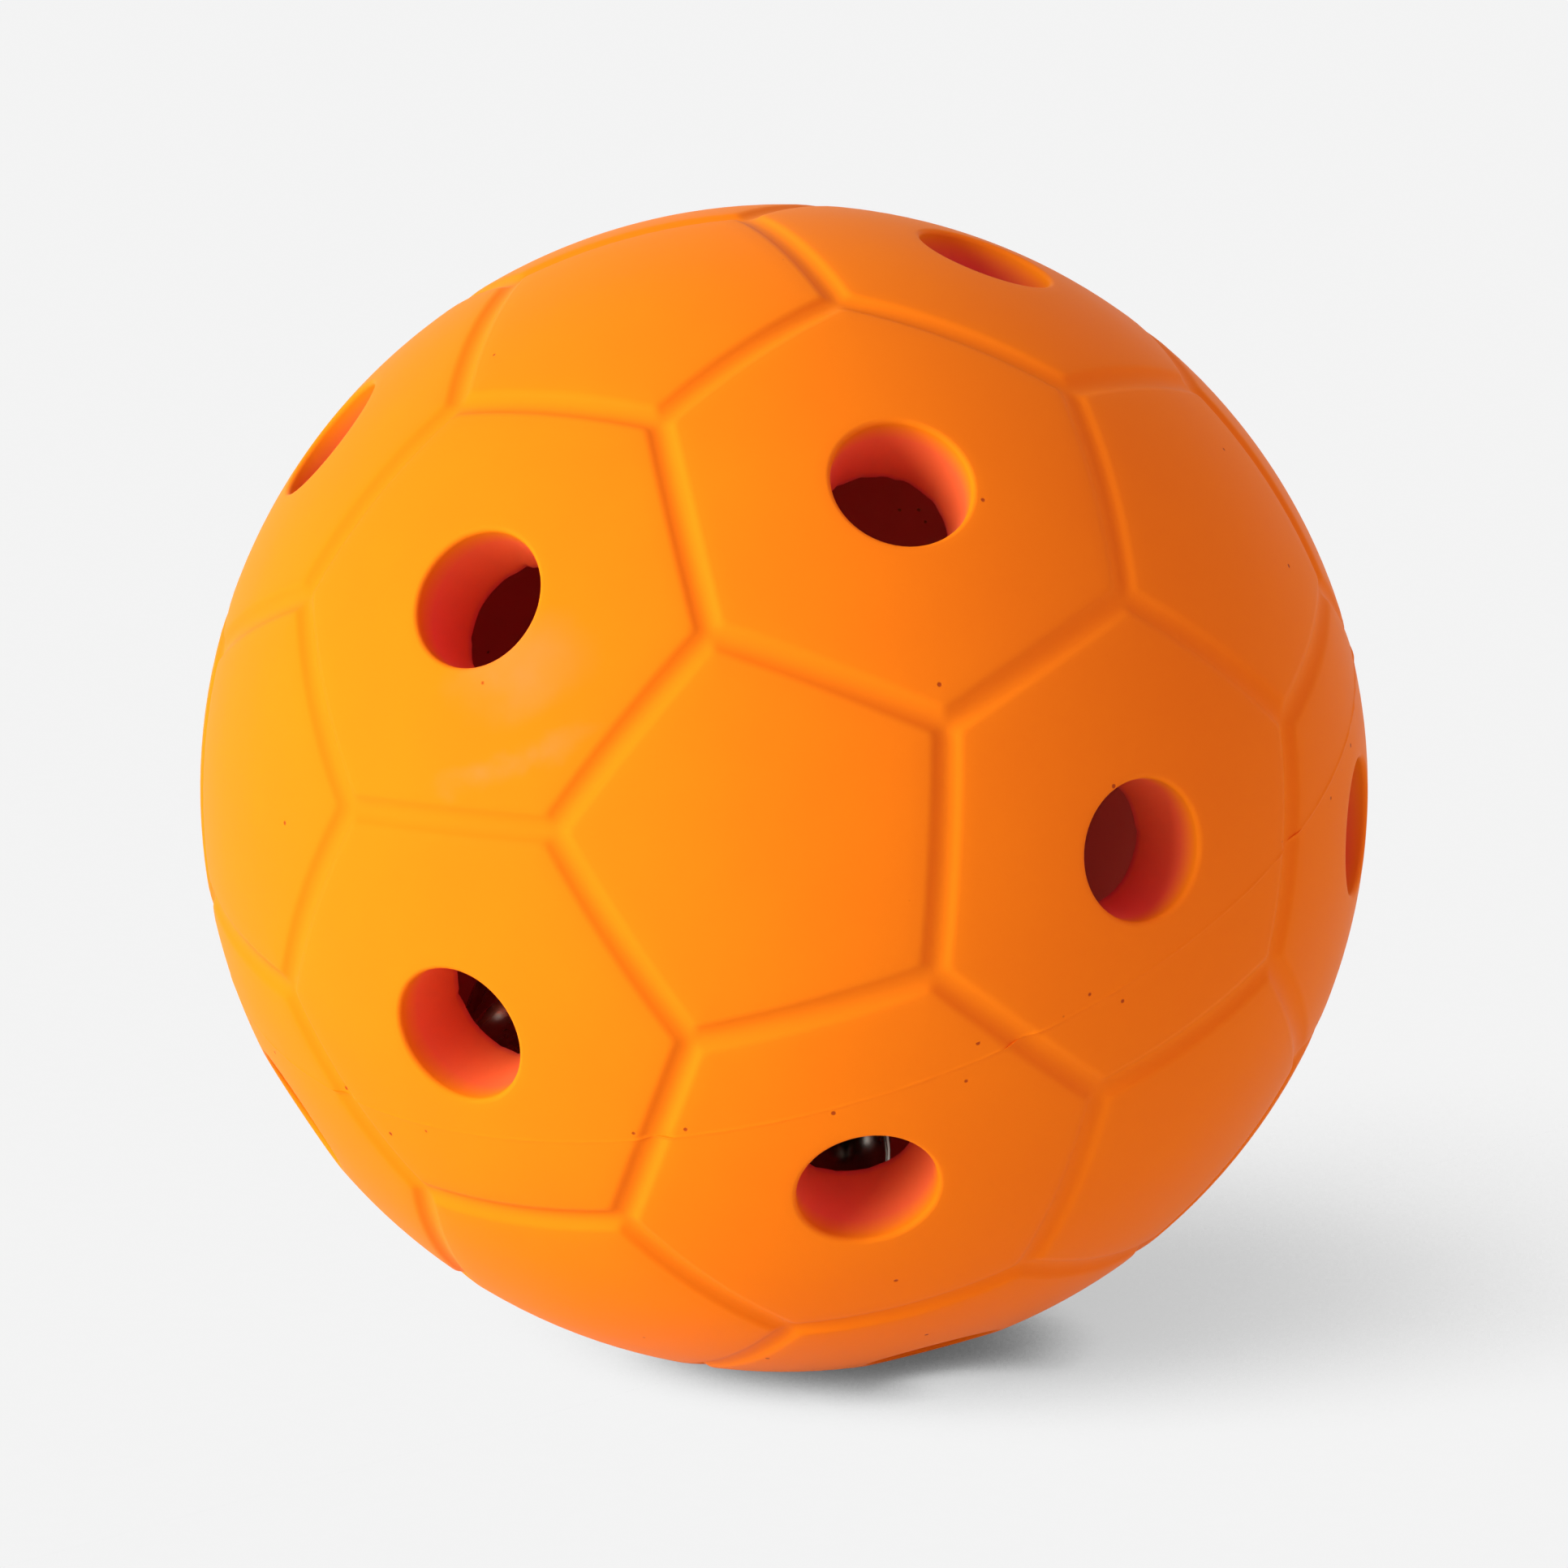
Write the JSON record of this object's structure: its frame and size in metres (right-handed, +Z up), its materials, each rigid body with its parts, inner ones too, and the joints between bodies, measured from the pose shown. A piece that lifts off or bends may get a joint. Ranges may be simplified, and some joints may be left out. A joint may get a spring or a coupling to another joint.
{
  "type": "bell ball",
  "caption": "Hollow rubber ball with round finger holes in its six-sided panels and loose jingle bells rolling inside.",
  "frame": {"origin": "centre of the ball", "axes": "+Z up as the ball lies on a floor, +X to the right and +Y away from the viewer as pictured; the bells lie at the bottom, along -Z"},
  "size_m": [0.1, 0.1, 0.0998],
  "materials": {
    "orange_rubber": "moulded satin natural rubber",
    "nickel_plated_steel": "pressed sheet, bright nickel plate gone dull",
    "bare_steel": "tumbled ball"
  },
  "bodies": {
    "shell": {"upper_half_shell": "orange_rubber", "lower_half_shell": "orange_rubber"},
    "middle_bell": {"middle_bell_crown": "nickel_plated_steel", "middle_bell_slotted_half": "nickel_plated_steel", "middle_bell_loop": "nickel_plated_steel"},
    "middle_bell_pellet": {"middle_bell_pellet": "bare_steel"},
    "front_left_bell": {"front_left_bell_crown": "nickel_plated_steel", "front_left_bell_slotted_half": "nickel_plated_steel", "front_left_bell_loop": "nickel_plated_steel"},
    "front_left_bell_pellet": {"front_left_bell_pellet": "bare_steel"},
    "front_right_bell": {"front_right_bell_crown": "nickel_plated_steel", "front_right_bell_slotted_half": "nickel_plated_steel", "front_right_bell_loop": "nickel_plated_steel"},
    "front_right_bell_pellet": {"front_right_bell_pellet": "bare_steel"},
    "back_left_bell": {"back_left_bell_crown": "nickel_plated_steel", "back_left_bell_slotted_half": "nickel_plated_steel", "back_left_bell_loop": "nickel_plated_steel"},
    "back_left_bell_pellet": {"back_left_bell_pellet": "bare_steel"},
    "back_right_bell": {"back_right_bell_crown": "nickel_plated_steel", "back_right_bell_slotted_half": "nickel_plated_steel", "back_right_bell_loop": "nickel_plated_steel"},
    "back_right_bell_pellet": {"back_right_bell_pellet": "bare_steel"}
  },
  "joints": [
    {"name": "middle_bell_roll", "type": "hinge", "parent": "shell", "child": "middle_bell", "pos_m": [0, 0, 0], "axis": [1, 0, 0], "continuous": true},
    {"name": "middle_bell_pellet_roll", "type": "hinge", "parent": "middle_bell", "child": "middle_bell_pellet", "pos_m": [0, 0, -0.0321], "axis": [1, 0, 0], "continuous": true},
    {"name": "front_left_bell_roll", "type": "hinge", "parent": "shell", "child": "front_left_bell", "pos_m": [0, 0, 0], "axis": [1, 0, 0], "range_deg": [-125, 0]},
    {"name": "front_left_bell_pellet_roll", "type": "hinge", "parent": "front_left_bell", "child": "front_left_bell_pellet", "pos_m": [-0.0192, -0.0096, -0.02387], "axis": [1, 0, 0], "continuous": true},
    {"name": "front_right_bell_roll", "type": "hinge", "parent": "shell", "child": "front_right_bell", "pos_m": [0, 0, 0], "axis": [1, 0, 0], "range_deg": [-125, 0]},
    {"name": "front_right_bell_pellet_roll", "type": "hinge", "parent": "front_right_bell", "child": "front_right_bell_pellet", "pos_m": [0.0192, -0.0096, -0.02387], "axis": [1, 0, 0], "continuous": true},
    {"name": "back_left_bell_roll", "type": "hinge", "parent": "shell", "child": "back_left_bell", "pos_m": [0, 0, 0], "axis": [1, 0, 0], "range_deg": [0, 125]},
    {"name": "back_left_bell_pellet_roll", "type": "hinge", "parent": "back_left_bell", "child": "back_left_bell_pellet", "pos_m": [-0.0192, 0.0096, -0.02387], "axis": [1, 0, 0], "continuous": true},
    {"name": "back_right_bell_roll", "type": "hinge", "parent": "shell", "child": "back_right_bell", "pos_m": [0, 0, 0], "axis": [1, 0, 0], "range_deg": [0, 125]},
    {"name": "back_right_bell_pellet_roll", "type": "hinge", "parent": "back_right_bell", "child": "back_right_bell_pellet", "pos_m": [0.0192, 0.0096, -0.02387], "axis": [1, 0, 0], "continuous": true}
  ]
}
